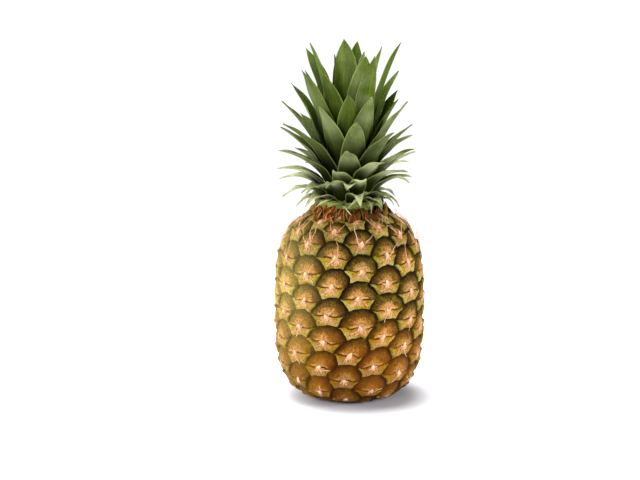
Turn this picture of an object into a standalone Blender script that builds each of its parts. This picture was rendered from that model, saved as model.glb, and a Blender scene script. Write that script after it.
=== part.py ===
"""A whole pineapple standing on its base, in metres, +Z up, origin at the middle of the base plane.

The fruit is one solid whose eyes are tiles of a spiral lattice, rolled onto a turned barrel profile.
The crown is one head of channelled leaves on a short stem. A ring of small bracts fills the neck
between them, and the cut end of the stalk sits in a shallow socket under the fruit.
"""

import math
import random

import bmesh
import bpy
import numpy as np
from mathutils import Vector

# Fruit, as a superellipse turned about Z and cut flat at Z = 0
FRUIT_RADIUS = 0.0605
EQUATOR_Z = 0.078
RISE_ABOVE_EQUATOR = 0.080
DROP_BELOW_EQUATOR = 0.0788
UPPER_POWER = 3.1
LOWER_POWER = 3.5
TOP_SEAT_RADIUS = 0.027

# Eyes, on a lattice of near-vertical columns with 7 spirals one way and 9 the other
EYE_COLUMNS = 16
SPIRALS_RIGHT_DOWN = 7
SPIRALS_LEFT_DOWN = 9
EYE_TURN = math.radians(157.5)
EYE_ROW_HEIGHT = 0.0227
FIRST_EYE_ANGLE = math.radians(-81.0)
FIRST_EYE_ARC = 0.102
FULL_SIZE_RADIUS = 0.050
EYE_SHRINK_POWER = 0.8
WAVER_ALONG = 0.0009
WAVER_ROUND = math.radians(1.6)
COLUMN_LEAN_FROM_ARC = 0.100
COLUMN_LEAN_SPAN = 0.085
COLUMN_LEAN = math.radians(-13.0)
EYE_RELIEF = 0.0026
RELIEF_FADE_TOP = 0.006
RELIEF_FADE_BASE = 0.018
OUTLINE_BOW = 0.068
# Rings of an eye's dome: (scale of the outline, shift down in rows, share of the relief)
EYE_RINGS = ((0.76, 0.01, 0.86),)
BRACT_RING = (0.24, 0.04, 1.05)
BRACT_TIP_REACH = 0.0055
BRACT_TIP_ARCS = (0.045, 0.080)

# Stalk end in its socket under the fruit
SOCKET_RADIUS = 0.0150
SOCKET_DEPTH = 0.0080
STALK_RADIUS = 0.0146
STALK_RECESS = 0.0012
NODE_GAP = 0.0003
SMALLEST_BODY = 1e-8

# Crown: stem profile as (radius, height above the fruit's top seat), then the leaves
CORE_PROFILE = (
    (0.0190, 0.000), (0.0205, 0.006), (0.0205, 0.016), (0.0180, 0.030), (0.0120, 0.045), (0.0045, 0.056)
)
CORE_SIDES = 20
LEAF_COUNT = 72
LEAF_TURN = math.radians(137.5)
FIRST_LEAF_ANGLE = math.radians(40.0)
LEAF_THICKNESS = 0.0011
LEAF_STATIONS = 5
LEAF_CHANNEL = 0.20
LEAF_ROOT_HEIGHTS = (0.0010, 0.0440)
LEAF_ROOT_DEPTH = 0.0030
LEAF_SEED = 34
# By age, 0 the lowest leaf and 1 the innermost, in mm and degrees:
# (age, reach of the tip from the axis, its height over the seat, start elevation, bow, width)
LEAF_AGES = (
    (0.00, 46, 4, 58, 0.80, 16.5),
    (0.12, 56, 13, 58, 0.72, 17.5),
    (0.25, 60, 30, 60, 0.60, 18.5),
    (0.40, 60, 51, 64, 0.52, 20.0),
    (0.55, 58, 80, 70, 0.50, 21.5),
    (0.70, 50, 105, 76, 0.50, 22.5),
    (0.85, 36, 132, 83, 0.50, 23.5),
    (0.95, 15, 143, 87, 0.50, 23.0),
    (1.00, 4, 118, 89, 0.50, 14.0),
)
# Tips measured in the photo, by leaf number: (mm to the right of the axis, mm over the seat)
MEASURED_TIPS = {
    0: (39, 10), 1: (-45, 5), 2: (27, 12), 4: (-36, 11), 5: (40, 8), 7: (9, 14), 9: (-55, 17), 10: (34, 16),
    12: (-19, 30), 13: (51, 22), 14: (-59, 26), 15: (12, 34), 17: (-39, 23), 18: (52, 31), 20: (-2, 27),
    21: (51, 37), 22: (-60, 38), 23: (47, 39), 25: (-12, 41), 26: (55, 49), 27: (-47, 50), 28: (28, 49),
    30: (-58, 55), 31: (53, 55), 33: (-1, 58), 34: (53, 60), 35: (-58, 70), 38: (-54, 78), 39: (52, 73),
    41: (6, 82), 43: (-56, 94), 44: (47, 95), 46: (-25, 93), 47: (40, 100), 48: (-49, 106), 49: (18, 101),
    51: (-39, 121), 52: (40, 95), 54: (-1, 102), 55: (41, 115), 56: (-37, 118), 57: (20, 132), 59: (-21, 117),
    60: (42, 141), 61: (-37, 135), 62: (13, 132), 63: (6, 140), 64: (-33, 141), 65: (26, 138), 66: (-8, 137),
    67: (-5, 145), 68: (12, 133), 69: (-13, 131),
}

# Ring of small bracts round the neck
COLLAR_PROFILE = ((0.0212, 0.0046), (0.0232, 0.0044), (0.0262, 0.0022), (0.0258, 0.0000), (0.0210, 0.0000))
BRACT_COUNT = 22
BRACT_WIDTH = 0.0105
BRACT_THICKNESS = 0.0012
# The bracts' line as (radius, height over the seat): root, bend and tip
BRACT_LINE = ((0.0222, 0.0018), (0.0345, 0.0026), (0.0300, 0.0085))

COLOURS = {
    "fruit": ((0.55, 0.38, 0.12, 1.0), 0.55),
    "crown": ((0.16, 0.25, 0.09, 1.0), 0.50),
    "neck_bracts": ((0.48, 0.16, 0.06, 1.0), 0.65),
    "stalk_end": ((0.50, 0.38, 0.20, 1.0), 0.80),
}


def clear_scene():
    for item in list(bpy.data.objects):
        bpy.data.objects.remove(item)


def new_collection(name):
    made = bpy.data.collections.new(name)
    bpy.context.scene.collection.children.link(made)
    return made


def new_material(name):
    colour, roughness = COLOURS[name]
    made = bpy.data.materials.new(name)
    made.use_nodes = True
    shader = made.node_tree.nodes["Principled BSDF"]
    shader.inputs["Base Color"].default_value = colour
    shader.inputs["Roughness"].default_value = roughness
    shader.inputs["Metallic"].default_value = 0.0
    made.diffuse_color = colour
    return made


def object_from_bmesh(bm, name, collection):
    mesh = bpy.data.meshes.new(name)
    bm.to_mesh(mesh)
    bm.free()
    made = bpy.data.objects.new(name, mesh)
    collection.objects.link(made)
    return made


def finish_node(item, name):
    item.data.materials.clear()
    item.data.materials.append(new_material(name))
    item.data.shade_smooth()
    item.data.set_sharp_from_angle(angle=math.radians(50.0))


# Turned profile of the fruit, from the top pole down to the base plane

def barrel_profile(samples=1600):
    """Radius and height along the profile, with the arc length from the top pole."""
    angles = np.linspace(math.pi / 2, -math.pi / 2, samples)
    above = angles > 0
    rise = np.where(above, RISE_ABOVE_EQUATOR, DROP_BELOW_EQUATOR)
    power = np.where(above, UPPER_POWER, LOWER_POWER)
    reach = (
        (np.abs(np.cos(angles)) / FRUIT_RADIUS) ** power + (np.abs(np.sin(angles)) / rise) ** power
    ) ** (-1.0 / power)
    radius = reach * np.cos(angles)
    height = EQUATOR_Z + reach * np.sin(angles)
    base_radius = float(np.interp(0.0, height[::-1], radius[::-1]))
    above_base = height > 0.0
    radius = np.append(radius[above_base], base_radius)
    height = np.append(height[above_base], 0.0)
    arc = np.concatenate([[0.0], np.cumsum(np.hypot(np.diff(radius), np.diff(height)))])
    return arc, radius, height


ARC, RADIUS, HEIGHT = barrel_profile()
BASE_ARC = float(ARC[-1])
WIDEST = int(np.argmax(RADIUS))
TOP_SEAT_ARC = float(np.interp(TOP_SEAT_RADIUS, RADIUS[:WIDEST], ARC[:WIDEST]))
TOP_SEAT_Z = float(np.interp(TOP_SEAT_ARC, ARC, HEIGHT))


def smooth_step(value):
    held = min(max(value, 0.0), 1.0)
    return held * held * (3.0 - 2.0 * held)


def eye_size(arc):
    """Eyes shrink where the fruit narrows to less than the full-size radius."""
    radius = float(np.interp(arc, ARC, RADIUS))
    return min(1.0, max(radius, 0.008) / FULL_SIZE_RADIUS) ** EYE_SHRINK_POWER


def row_table(step=0.02, rows=9.0):
    """Arc length at each row number, row 0 being the first eye's, rows positive downwards."""
    down, up = [FIRST_EYE_ARC], [FIRST_EYE_ARC]
    for _ in range(int(rows / step)):
        down.append(down[-1] + step * EYE_ROW_HEIGHT * eye_size(down[-1]))
        up.append(up[-1] - step * EYE_ROW_HEIGHT * eye_size(up[-1]))
    numbers = np.arange(-len(up) + 1, len(down)) * step
    return numbers, np.array(up[:0:-1] + down)


ROW_NUMBERS, ROW_ARCS = row_table()


def lattice_to_sheet(angle, row):
    """Angle round the fruit and arc length of a lattice point, with the growth's unevenness."""
    arc = float(np.interp(row, ROW_NUMBERS, ROW_ARCS))
    lean = COLUMN_LEAN * smooth_step((arc - COLUMN_LEAN_FROM_ARC) / COLUMN_LEAN_SPAN)
    waver = WAVER_ROUND * math.sin(3.0 * angle + 90.0 * arc)
    arc += WAVER_ALONG * math.sin(5.0 * angle - 70.0 * arc) * eye_size(arc)
    return angle + lean + waver, arc


def sheet_to_space(angle, arc, raised):
    """The point of the fruit's skin at this angle and arc length, raised along the normal."""
    arc = min(max(arc, TOP_SEAT_ARC), BASE_ARC)
    radius = float(np.interp(arc, ARC, RADIUS))
    height = float(np.interp(arc, ARC, HEIGHT))
    reach = 0.0006
    ahead, behind = min(arc + reach, BASE_ARC), max(arc - reach, 0.0)
    slope_r = float(np.interp(ahead, ARC, RADIUS) - np.interp(behind, ARC, RADIUS))
    slope_z = float(np.interp(ahead, ARC, HEIGHT) - np.interp(behind, ARC, HEIGHT))
    length = math.hypot(slope_r, slope_z)
    fade = smooth_step((arc - TOP_SEAT_ARC) / RELIEF_FADE_TOP) * smooth_step((BASE_ARC - arc) / RELIEF_FADE_BASE)
    radius += raised * fade * -slope_z / length
    height += raised * fade * slope_r / length
    return Vector((radius * math.cos(angle), radius * math.sin(angle), height))


# One eye's tile in lattice units: columns to the right, rows downwards

def eye_outline():
    """Twelve points, corner and bowed edge by turns. Opposite edges match, so that tiles meet."""
    right_up = Vector((1.0, -SPIRALS_LEFT_DOWN / EYE_COLUMNS))
    right_down = Vector((1.0, SPIRALS_RIGHT_DOWN / EYE_COLUMNS))
    up, down = Vector((0.0, -1.0)), Vector((0.0, 1.0))
    neighbours = (up, right_up, right_down, down, -right_up, -right_down)
    points = []
    for i, neighbour in enumerate(neighbours):
        before, after = neighbours[i - 1], neighbours[(i + 1) % 6]
        corner = (before + neighbour) / 3.0
        next_corner = (neighbour + after) / 3.0
        bow = neighbour.normalized() * (OUTLINE_BOW if neighbour.y < 0.0 else -OUTLINE_BOW)
        points += [corner, (corner + next_corner) / 2.0 + bow]
    return points


def eye_tile(with_tip):
    """The tile as a mesh: a disc stepped inwards ring by ring to a poked middle, Z being the relief."""
    bm = bmesh.new()
    bmesh.ops.create_circle(bm, cap_ends=True, radius=1.0, segments=12)
    bm.verts.ensure_lookup_table()
    bm.faces.ensure_lookup_table()
    for vertex, point in zip(bm.verts, eye_outline()):
        vertex.co = (point.x, point.y, 0.0)
    inner = bm.faces[0]
    scale_so_far, shift_so_far = 1.0, 0.0
    for scale, shift, level in EYE_RINGS + ((BRACT_RING,) if with_tip else ()):
        inner = bmesh.ops.extrude_discrete_faces(bm, faces=[inner])["faces"][0]
        for vertex in inner.verts:
            across = vertex.co.x * scale / scale_so_far
            along = (vertex.co.y - shift_so_far) * scale / scale_so_far + shift
            vertex.co = (across, along, level * EYE_RELIEF)
        scale_so_far, shift_so_far = scale, shift
    middle = bmesh.ops.poke(bm, faces=[inner])["verts"][0]
    middle.co = (0.0, shift_so_far, EYE_RELIEF * 1.06)
    if with_tip:
        middle.co = (0.0, shift_so_far - 0.20, EYE_RELIEF + BRACT_TIP_REACH)
    mesh = bpy.data.meshes.new("tile")
    bm.to_mesh(mesh)
    bm.free()
    return mesh


def lay_tile(bm, tile, number):
    """Adds one eye's tile to the flat sheet, whose X is the angle and Y the arc length."""
    first = len(bm.verts)
    bm.from_mesh(tile)
    bm.verts.ensure_lookup_table()
    column_width = 2.0 * math.pi / EYE_COLUMNS
    for vertex in bm.verts[first:]:
        angle = FIRST_EYE_ANGLE + number * EYE_TURN + vertex.co.x * column_width
        angle, arc = lattice_to_sheet(angle, number / EYE_COLUMNS + vertex.co.y)
        vertex.co = (angle, arc, vertex.co.z * eye_size(arc))


def make_fruit(collection, cutters):
    bm = bmesh.new()
    plain, tipped = eye_tile(False), eye_tile(True)
    for number in range(-6 * EYE_COLUMNS, 8 * EYE_COLUMNS):
        _, arc = lattice_to_sheet(FIRST_EYE_ANGLE + number * EYE_TURN, number / EYE_COLUMNS)
        if TOP_SEAT_ARC - EYE_ROW_HEIGHT < arc < BASE_ARC + EYE_ROW_HEIGHT:
            has_tip = BRACT_TIP_ARCS[0] < arc < BRACT_TIP_ARCS[1]
            lay_tile(bm, tipped if has_tip else plain, number)
    for arc, outward in ((TOP_SEAT_ARC, -1.0), (BASE_ARC, 1.0)):
        everything = list(bm.verts) + list(bm.edges) + list(bm.faces)
        bmesh.ops.bisect_plane(
            bm, geom=everything, dist=1e-6, plane_co=(0, arc, 0), plane_no=(0, outward, 0), clear_outer=True
        )
    for vertex in bm.verts:
        vertex.co = sheet_to_space(*vertex.co)
    bmesh.ops.remove_doubles(bm, verts=bm.verts, dist=1e-5)
    open_edges = [e for e in bm.edges if e.is_boundary]
    bmesh.ops.edgeloop_fill(bm, edges=open_edges)
    bmesh.ops.recalc_face_normals(bm, faces=bm.faces)
    bmesh.ops.triangulate(bm, faces=bm.faces)
    fruit = object_from_bmesh(bm, "fruit", collection)

    socket = cylinder("stalk_socket_cutter", SOCKET_RADIUS, -SOCKET_DEPTH, SOCKET_DEPTH, cutters)
    socket.hide_render = True
    socket.display_type = "WIRE"
    cut = fruit.modifiers.new("stalk_socket", "BOOLEAN")
    cut.operation = "DIFFERENCE"
    cut.object = socket
    finish_node(fruit, "fruit")
    return fruit


def cylinder(name, radius, low, high, collection, sides=32):
    bm = bmesh.new()
    bmesh.ops.create_cone(
        bm, cap_ends=True, segments=sides, radius1=radius, radius2=radius, depth=high - low
    )
    bmesh.ops.translate(bm, verts=bm.verts, vec=(0, 0, (high + low) / 2.0))
    return object_from_bmesh(bm, name, collection)


def make_stalk_end(collection):
    stalk = cylinder("stalk_end", STALK_RADIUS, STALK_RECESS, SOCKET_DEPTH - NODE_GAP, collection)
    bevel = stalk.modifiers.new("worn_edge", "BEVEL")
    bevel.width = 0.0012
    bevel.segments = 2
    finish_node(stalk, "stalk_end")
    return stalk


# Blades: a grid strip bent along a three-point curve and channelled across, then thickened

def blade(name, line, stations, across, width_at, channel, thickness, collection):
    """A leaf or bract along a curve through the line's root and tip, drawn towards its middle point."""
    root, bend, tip = line
    sideways = Vector((-tip.y, tip.x, 0.0)).normalized()
    bm = bmesh.new()
    bmesh.ops.create_grid(bm, x_segments=across, y_segments=stations, size=1.0)
    for vertex in bm.verts:
        side, share = vertex.co.x, (vertex.co.y + 1.0) / 2.0
        centre = root * (1.0 - share) ** 2 + bend * 2.0 * share * (1.0 - share) + tip * share ** 2
        along = (bend - root) * (1.0 - share) + (tip - bend) * share
        inward = along.cross(sideways).normalized()
        width = width_at(share)
        vertex.co = centre + sideways * (side * width / 2.0) + inward * (channel * width * side ** 2)
    bmesh.ops.triangulate(bm, faces=bm.faces)
    bmesh.ops.recalc_face_normals(bm, faces=bm.faces)
    made = object_from_bmesh(bm, name, collection)
    shell = made.modifiers.new("thickness", "SOLIDIFY")
    shell.thickness = thickness
    shell.offset = 0.0
    return made


def leaf_facts(number):
    """Azimuth, tip reach, tip height, start elevation, bow and width of one leaf, a little irregular."""
    age = number / (LEAF_COUNT - 1.0)
    ages = [row[0] for row in LEAF_AGES]
    reach, height, start, bow, width = (np.interp(age, ages, [row[i] for row in LEAF_AGES]) for i in range(1, 6))
    draw = random.Random(LEAF_SEED * 1000 + number)
    azimuth = FIRST_LEAF_ANGLE + number * LEAF_TURN + math.radians(draw.uniform(-5.0, 5.0))
    reach *= 1.0 + draw.uniform(-0.08, 0.08)
    height += draw.uniform(-4.0, 4.0)
    if number in MEASURED_TIPS:
        across, height = MEASURED_TIPS[number]
        depth = reach * math.sin(azimuth)
        reach, azimuth = math.hypot(across, depth), math.atan2(depth, across)
    return azimuth, reach / 1000.0, height / 1000.0, math.radians(start), bow, width / 1000.0


def leaf_line(number):
    """Root, bend and tip of one leaf."""
    azimuth, reach, height, start, bow, _ = leaf_facts(number)
    age = number / (LEAF_COUNT - 1.0)
    root_height = LEAF_ROOT_HEIGHTS[0] + (LEAF_ROOT_HEIGHTS[1] - LEAF_ROOT_HEIGHTS[0]) * age
    root_radius = max(core_radius_at(root_height) - LEAF_ROOT_DEPTH, 0.001)
    chord = math.hypot(reach - root_radius, height - root_height)
    bend_radius = root_radius + bow * chord * math.cos(start)
    bend_height = root_height + bow * chord * math.sin(start)
    return (
        around_axis(root_radius, azimuth, root_height),
        around_axis(bend_radius, azimuth, bend_height),
        around_axis(reach, azimuth, height),
    )


def leaf_width(share, width):
    """Narrowed at the root, broad to half its length, then drawn to a point."""
    root = 0.68 + 0.32 * smooth_step(share / 0.35)
    taper = max(1.0 - share ** 2.5, 0.0) ** 0.95
    return max(width * root * taper, 0.0013)


def core_radius_at(height):
    return float(np.interp(height, [p[1] for p in CORE_PROFILE], [p[0] for p in CORE_PROFILE]))


def around_axis(radius, azimuth, height):
    """A point beside the fruit's top seat, by radius and turn and its height above the seat."""
    seat = TOP_SEAT_Z + NODE_GAP
    return Vector((math.cos(azimuth) * radius, math.sin(azimuth) * radius, seat + height))


def make_leaf(number, collection):
    width = leaf_facts(number)[-1]
    return blade(
        f"leaf_{number:02d}", leaf_line(number), LEAF_STATIONS, 2, lambda share: leaf_width(share, width),
        LEAF_CHANNEL, LEAF_THICKNESS, collection,
    )


def turned(name, profile, sides, collection):
    """A solid turned about Z from (radius, height) points, a ring where they stay off the axis."""
    bm = bmesh.new()
    vertices = [bm.verts.new(around_axis(r, 0.0, h)) for r, h in profile]
    if profile[0][0] > 0.0:
        vertices.append(vertices[0])
    for a, b in zip(vertices, vertices[1:]):
        bm.edges.new((a, b))
    made = object_from_bmesh(bm, name, collection)
    screw = made.modifiers.new("turned", "SCREW")
    screw.steps = screw.render_steps = sides
    screw.use_normal_calculate = True
    screw.use_merge_vertices = True
    screw.merge_threshold = 0.0001
    return made


def fill_pockets(mesh):
    """Removes the inner skins of pockets and slivers where leaves cross, so that the solid fills them."""
    bm = bmesh.new()
    bm.from_mesh(mesh)
    waiting = set(bm.faces)
    while waiting:
        island, border = set(), [waiting.pop()]
        while border:
            face = border.pop()
            island.add(face)
            near = {f for edge in face.edges for f in edge.link_faces} & waiting
            waiting -= near
            border += near
        six_volumes = 0.0
        for face in island:
            corners = [v.co for v in face.verts]
            for b, c in zip(corners[1:], corners[2:]):
                six_volumes += corners[0].dot(b.cross(c))
        if six_volumes < 6.0 * SMALLEST_BODY:
            bmesh.ops.delete(bm, geom=list(island), context="FACES")
    bm.to_mesh(mesh)
    bm.free()


def fuse(body, blades):
    """Joins every object of the blades collection to the body, applies it and removes them."""
    join = body.modifiers.new("joined", "BOOLEAN")
    join.operation = "UNION"
    join.operand_type = "COLLECTION"
    join.collection = blades
    join.solver = "MANIFOLD"
    bpy.context.view_layer.update()
    graph = bpy.context.evaluated_depsgraph_get()
    joined = bpy.data.meshes.new_from_object(body.evaluated_get(graph))
    body.modifiers.clear()
    fill_pockets(joined)
    body.data = joined
    for item in list(blades.objects):
        bpy.data.objects.remove(item)
    bpy.data.collections.remove(blades)


def make_crown(collection):
    top_radius, top_height = CORE_PROFILE[-1]
    profile = ((0.0, 0.0),) + CORE_PROFILE + ((0.0, top_height + top_radius),)
    crown = turned("crown", profile, CORE_SIDES, collection)
    leaves = new_collection("crown_leaves")
    for number in range(LEAF_COUNT):
        make_leaf(number, leaves)
    fuse(crown, leaves)
    finish_node(crown, "crown")
    return crown


def make_neck_bracts(collection):
    collar = turned("neck_bracts", COLLAR_PROFILE, 24, collection)
    bracts = new_collection("collar_bracts")
    for number in range(BRACT_COUNT):
        draw = random.Random(LEAF_SEED * 2000 + number)
        azimuth = 2.0 * math.pi * number / BRACT_COUNT + math.radians(draw.uniform(-3.0, 3.0))
        lift = draw.uniform(0.0, 0.0012)
        line = [around_axis(radius, azimuth, height + lift * i) for i, (radius, height) in enumerate(BRACT_LINE)]
        blade(
            f"bract_{number:02d}", line, 4, 1, lambda share: max(BRACT_WIDTH * (1.0 - share ** 1.6), 0.0013),
            0.0, BRACT_THICKNESS, bracts,
        )
    fuse(collar, bracts)
    finish_node(collar, "neck_bracts")
    return collar


def main():
    clear_scene()
    pineapple = new_collection("pineapple")
    cutters = new_collection("cutters")
    make_fruit(pineapple, cutters)
    make_stalk_end(pineapple)
    make_crown(pineapple)
    make_neck_bracts(pineapple)


main()
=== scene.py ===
"""The looks of a whole pineapple: a rind of wrinkled eyes, papery bract tips, a grey-green crown.

Lengths are in metres unless a name says mm, in the CAD frame: +Z up, the base plane at Z = 0 and
-Y towards the camera. The fruit's profile, its eye lattice and the crown's leaf rule are the CAD's.
"""

import math
import random

import bmesh
import bpy
import numpy as np
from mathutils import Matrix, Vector


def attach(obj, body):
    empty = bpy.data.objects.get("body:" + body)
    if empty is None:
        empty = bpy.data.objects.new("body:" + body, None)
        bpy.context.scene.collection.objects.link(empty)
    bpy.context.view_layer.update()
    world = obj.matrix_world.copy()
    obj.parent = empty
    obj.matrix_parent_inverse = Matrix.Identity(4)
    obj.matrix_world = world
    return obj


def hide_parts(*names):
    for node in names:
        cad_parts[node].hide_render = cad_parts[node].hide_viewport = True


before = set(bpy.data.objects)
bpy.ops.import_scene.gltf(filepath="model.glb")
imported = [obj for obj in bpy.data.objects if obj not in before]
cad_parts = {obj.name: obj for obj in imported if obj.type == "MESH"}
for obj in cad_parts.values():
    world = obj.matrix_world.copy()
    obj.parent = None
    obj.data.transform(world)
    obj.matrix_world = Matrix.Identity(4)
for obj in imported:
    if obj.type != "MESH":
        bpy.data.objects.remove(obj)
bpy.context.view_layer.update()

MM = 0.001
FULL_TURN = 2.0 * math.pi
ANY_PHASE = (0.0, 6.28)

# Distances within which vertices become one
GRID_WELD = 2e-6
STRAND_WELD = 1e-6

# First seeds of the draws
EYE_SEED = 900
TIP_SEED = 4000
BLADE_SEED = 7000
WRAP_SEED = 8000
HAIR_SEED = 8500
BRACT_SEED = 12000

# Fruit, as a superellipse turned about Z and cut flat at Z = 0
FRUIT_RADIUS = 0.0605
EQUATOR_Z = 0.078
RISE_ABOVE_EQUATOR = 0.080
DROP_BELOW_EQUATOR = 0.0788
UPPER_POWER = 3.1
LOWER_POWER = 3.5
PROFILE_SAMPLES = 1600
TOP_SEAT_RADIUS = 0.027
SOCKET_RADIUS = 0.0150
SOCKET_DEPTH = 0.0080
NODE_GAP = 0.0003
# The flat ring inside the fruit's rim, as (radius, height), and its edge turned up into the socket
BASE_RING = (
    (0.0215, 0.0), (0.0195, 0.0), (0.0175, 0.0), (0.0162, 0.0), (0.0153, 0.0005),
    (SOCKET_RADIUS, 0.0015), (SOCKET_RADIUS, SOCKET_DEPTH), (0.0, SOCKET_DEPTH),
)
BASE_SIDES = 96

# Eyes, on a lattice of near-vertical columns with 7 spirals one way and 9 the other
EYE_COLUMNS = 16
SPIRALS_RIGHT_DOWN = 7
SPIRALS_LEFT_DOWN = 9
COLUMN_TURN = FULL_TURN / EYE_COLUMNS
EYE_TURN = math.radians(157.5)
EYE_ROW_HEIGHT = 0.0227
FIRST_EYE_ANGLE = math.radians(-81.0)
FIRST_EYE_ARC = 0.102
FULL_SIZE_RADIUS = 0.050
SMALLEST_RADIUS = 0.008
EYE_SHRINK_POWER = 0.8
WAVER_ALONG = 0.0009
WAVER_ROUND = math.radians(1.6)
COLUMN_LEAN_FROM_ARC = 0.100
COLUMN_LEAN_SPAN = 0.085
COLUMN_LEAN = math.radians(-13.0)
CRINKLE = 0.00027
# Arc length over which the skin's slope is taken, and over which the relief fades out at both ends
NORMAL_REACH = 0.0006
RELIEF_FADE_TOP = 0.006
RELIEF_FADE_BASE = 0.018
OUTLINE_BOW_TOP = 0.085
OUTLINE_BOW_SIDE = 0.065

# The slit across an eye, in lattice rows and columns, and the shares of the tile's height it may lie at
SLIT_ROW = 0.085
SLIT_PEAK = 0.040
SLIT_PEAK_WIDTH = 0.16
SLIT_WAVE = 0.013
SLIT_SHARES = (0.35, 0.78)
SLIT_PLACE = 0.6

# Relief of an eye over its groove, in mm on a full-sized eye
COLUMN_MM = 23.7
ROW_MM = EYE_ROW_HEIGHT / MM
DOME_SWELL_MM = 2.7
DOME_FOOT_MM = 0.8
DOME_RISE_MM = 3.6
CREASE_MM = 0.55
CREASE_BEARINGS = (0.0, -0.95, 0.95)
CREASE_WIDTH = 0.10
WRINKLE_MM = 0.13
LUMP_MM = 0.16
BROW_MM = 0.40
BROW_HEIGHT_MM = 1.6
BROW_HALF_MM = 0.9
SLIT_MM = 1.5
SLIT_HALF_MM = 0.45
SLIT_HALF_LENGTH = 0.50
SHELF_MM = 1.85
SHELF_RISE_MM = 1.15
SHELF_REACH_MM = 3.5
KEEL_MM = 0.35
KEEL_HALF_MM = 2.2
LIP_MM = 0.40
LIP_FROM_HEM_MM = 1.3
LIP_HALF_MM = 0.6

# Rows of an eye's mesh, from the groove over it down to the slit, then on to its lower edge
DOME_ROWS = (0.0, 0.035, 0.08, 0.15, 0.24, 0.35, 0.46, 0.57, 0.68, 0.78, 0.86, 0.92, 0.963, 1.0)
BRACT_ROWS = (0.05, 0.14, 0.30, 0.48, 0.66, 0.82, 0.94, 1.0)
EDGE_STEPS = 8

# Papery strands over the eyes: lengths in lattice units, widths and lifts in mm
STRAND_STEPS = 8
STRAND_ACROSS = 2
STRAND_ARCH = 0.10
TIPS_FROM_SEAT = 0.002
TIPS_FROM_BASE = 0.006
FLAP_REACH = 0.25
FLAP_WIDTHS_MM = (2.8, 4.2)
SPLINTER_TURNS = (-1.1, -0.5, 0.5, 1.1, 2.6, 3.2, 3.8)
SPLINTER_LENGTHS = (0.07, 0.17)
SPLINTER_WIDTHS_MM = (0.7, 1.5)
SHOULDER_ARC = 0.090
SHOULDER_SPAN = 0.040
WHISKER_COUNTS = (2.5, 7.0)
WHISKER_LENGTHS = (0.35, 1.05)
WHISKER_LIFTS_MM = (0.6, 4.5)
WHISKER_WIDTHS_MM = (0.5, 1.1)
WHISKER_TONES = (0.0, 0.1, 0.2, 1.0)
LOOSE_FIBRE_SHARE = 0.35
LOOSE_FIBRE_LENGTH = 0.62
LOOSE_FIBRE_MM = 0.45

# Crown
CORE_PROFILE = (
    (0.0190, 0.000), (0.0205, 0.006), (0.0205, 0.016), (0.0180, 0.030), (0.0120, 0.045), (0.0045, 0.056)
)
CORE_SIDES = 48
LEAF_COUNT = 72
LEAF_TURN = math.radians(137.5)
FIRST_LEAF_ANGLE = math.radians(40.0)
LEAF_ROOT_HEIGHTS = (0.0010, 0.0440)
LEAF_ROOT_DEPTH = 0.0030
LEAF_SEED = 34
# By age, 0 the lowest leaf and 1 the innermost, in mm and degrees:
# (age, reach of the tip from the axis, its height over the seat, start elevation, bow, width)
LEAF_AGES = (
    (0.00, 46, 4, 58, 0.80, 16.5),
    (0.12, 56, 13, 58, 0.72, 17.5),
    (0.25, 60, 30, 60, 0.60, 18.5),
    (0.40, 60, 51, 64, 0.52, 20.0),
    (0.55, 58, 80, 70, 0.50, 21.5),
    (0.70, 50, 105, 76, 0.50, 22.5),
    (0.85, 36, 132, 83, 0.50, 23.5),
    (0.95, 15, 143, 87, 0.50, 23.0),
    (1.00, 4, 118, 89, 0.50, 14.0),
)
# Tips measured in the photo, by leaf number: (mm to the right of the axis, mm over the seat)
MEASURED_TIPS = {
    0: (39, 10), 1: (-45, 5), 2: (27, 12), 4: (-36, 11), 5: (40, 8), 7: (9, 14), 9: (-55, 17), 10: (34, 16),
    12: (-19, 30), 13: (51, 22), 14: (-59, 26), 15: (12, 34), 17: (-39, 23), 18: (52, 31), 20: (-2, 27),
    21: (51, 37), 22: (-60, 38), 23: (47, 39), 25: (-12, 41), 26: (55, 49), 27: (-47, 50), 28: (28, 49),
    30: (-58, 55), 31: (53, 55), 33: (-1, 58), 34: (53, 60), 35: (-58, 70), 38: (-54, 78), 39: (52, 73),
    41: (6, 82), 43: (-56, 94), 44: (47, 95), 46: (-25, 93), 47: (40, 100), 48: (-49, 106), 49: (18, 101),
    51: (-39, 121), 52: (40, 95), 54: (-1, 102), 55: (41, 115), 56: (-37, 118), 57: (20, 132), 59: (-21, 117),
    60: (42, 141), 61: (-37, 135), 62: (13, 132), 63: (6, 140), 64: (-33, 141), 65: (26, 138), 66: (-8, 137),
    67: (-5, 145), 68: (12, 133), 69: (-13, 131),
}
# How bluntly a leaf is drawn to its point: (age, power)
LEAF_TAPERS = ((0.0, 1.5), (0.15, 1.9), (0.50, 2.6), (0.80, 3.8), (0.93, 6.5), (1.0, 7.5))
LEAF_ROOT_SHARE = 0.70
LEAF_ALONG = 30
LEAF_ACROSS = 8
LEAF_THICK = 0.0013
LEAF_EDGE_THICK = 0.0005
LEAF_CHANNEL = 0.20
LEAF_TWIST = 0.30
RUFFLES_MM = (0.2, 0.6)
HOOK_POWER = 7
HOOKS_MM = (1.0, 4.0)

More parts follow.
